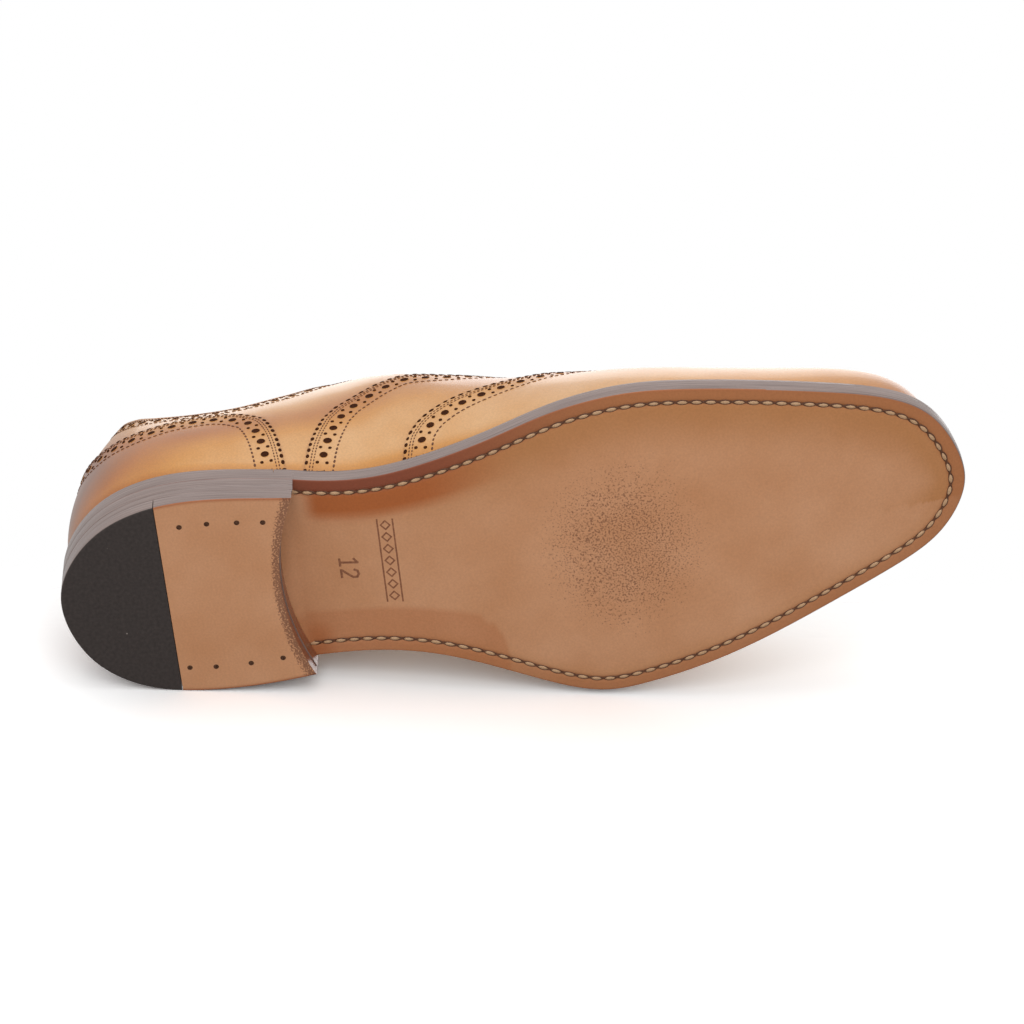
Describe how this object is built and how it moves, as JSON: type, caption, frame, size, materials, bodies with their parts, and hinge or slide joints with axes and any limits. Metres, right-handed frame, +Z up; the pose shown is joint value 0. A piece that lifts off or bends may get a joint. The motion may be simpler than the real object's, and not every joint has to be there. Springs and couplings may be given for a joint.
{
  "type": "leather oxford shoe",
  "caption": "Left full-brogue oxford shoe with a closed-laced calf upper, stitched leather sole and a stacked heel with a rubber quarter tip.",
  "frame": {"origin": "on the ground, under the middle of the shoe's length and width, the shoe standing on its heel and the ball of its sole", "axes": "+Z up, -Y from heel to toe, +X to the lateral (outer) side"},
  "size_m": [0.1203, 0.3149, 0.114],
  "materials": {
    "calf_upper": "glossy burnished tan calf",
    "sole_leather": "smooth vegetable-tanned sole leather, stained tan",
    "edge_dressed_leather": "edge-dressed and waxed",
    "heel_rubber": "matte",
    "lining_leather": "matte",
    "leatherboard": "matte",
    "insole_leather": "matte",
    "cork": "matte",
    "spring_steel": "satin",
    "nail_metal": "darkened, satin",
    "eyelet_metal": "satin",
    "waxed_cotton": "waxed"
  },
  "bodies": {
    "shoe": {"outsole": "sole_leather", "welt": "edge_dressed_leather", "heel_rand": "edge_dressed_leather", "cork_filler": "cork", "heel_seat_filler": "leatherboard", "insole": "insole_leather", "heel_sock": "lining_leather", "shank": "spring_steel", "rubber_quarter_tip": "heel_rubber", "leather_top_piece": "sole_leather", "heel_lift_1": "edge_dressed_leather", "heel_lift_2": "edge_dressed_leather", "wing_cap": "calf_upper", "vamp": "calf_upper", "heel_counter_cover": "calf_upper", "medial_quarter": "calf_upper", "medial_quarter_lining": "lining_leather", "lateral_quarter": "calf_upper", "lateral_quarter_lining": "lining_leather", "vamp_lining": "lining_leather", "toe_puff": "leatherboard", "heel_stiffener": "leatherboard", "back_tab": "calf_upper", "lace": "waxed_cotton", "top_piece_nail_1": "nail_metal", "top_piece_nail_2": "nail_metal", "top_piece_nail_3": "nail_metal", "top_piece_nail_4": "nail_metal", "top_piece_nail_5": "nail_metal", "top_piece_nail_6": "nail_metal", "top_piece_nail_7": "nail_metal", "top_piece_nail_8": "nail_metal", "medial_eyelet_1": "eyelet_metal", "medial_eyelet_2": "eyelet_metal", "medial_eyelet_3": "eyelet_metal", "medial_eyelet_4": "eyelet_metal", "medial_eyelet_5": "eyelet_metal", "lateral_eyelet_1": "eyelet_metal", "lateral_eyelet_2": "eyelet_metal", "lateral_eyelet_3": "eyelet_metal", "lateral_eyelet_4": "eyelet_metal", "lateral_eyelet_5": "eyelet_metal"},
    "tongue": {"tongue": "calf_upper"}
  },
  "joints": [
    {"name": "tongue_hinge", "type": "hinge", "parent": "shoe", "child": "tongue", "pos_m": [0.0023, -0.0135, 0.0715], "axis": [1, 0, 0], "range_deg": [-12, 0], "stiffness_Nm_per_rad": 0.4}
  ]
}
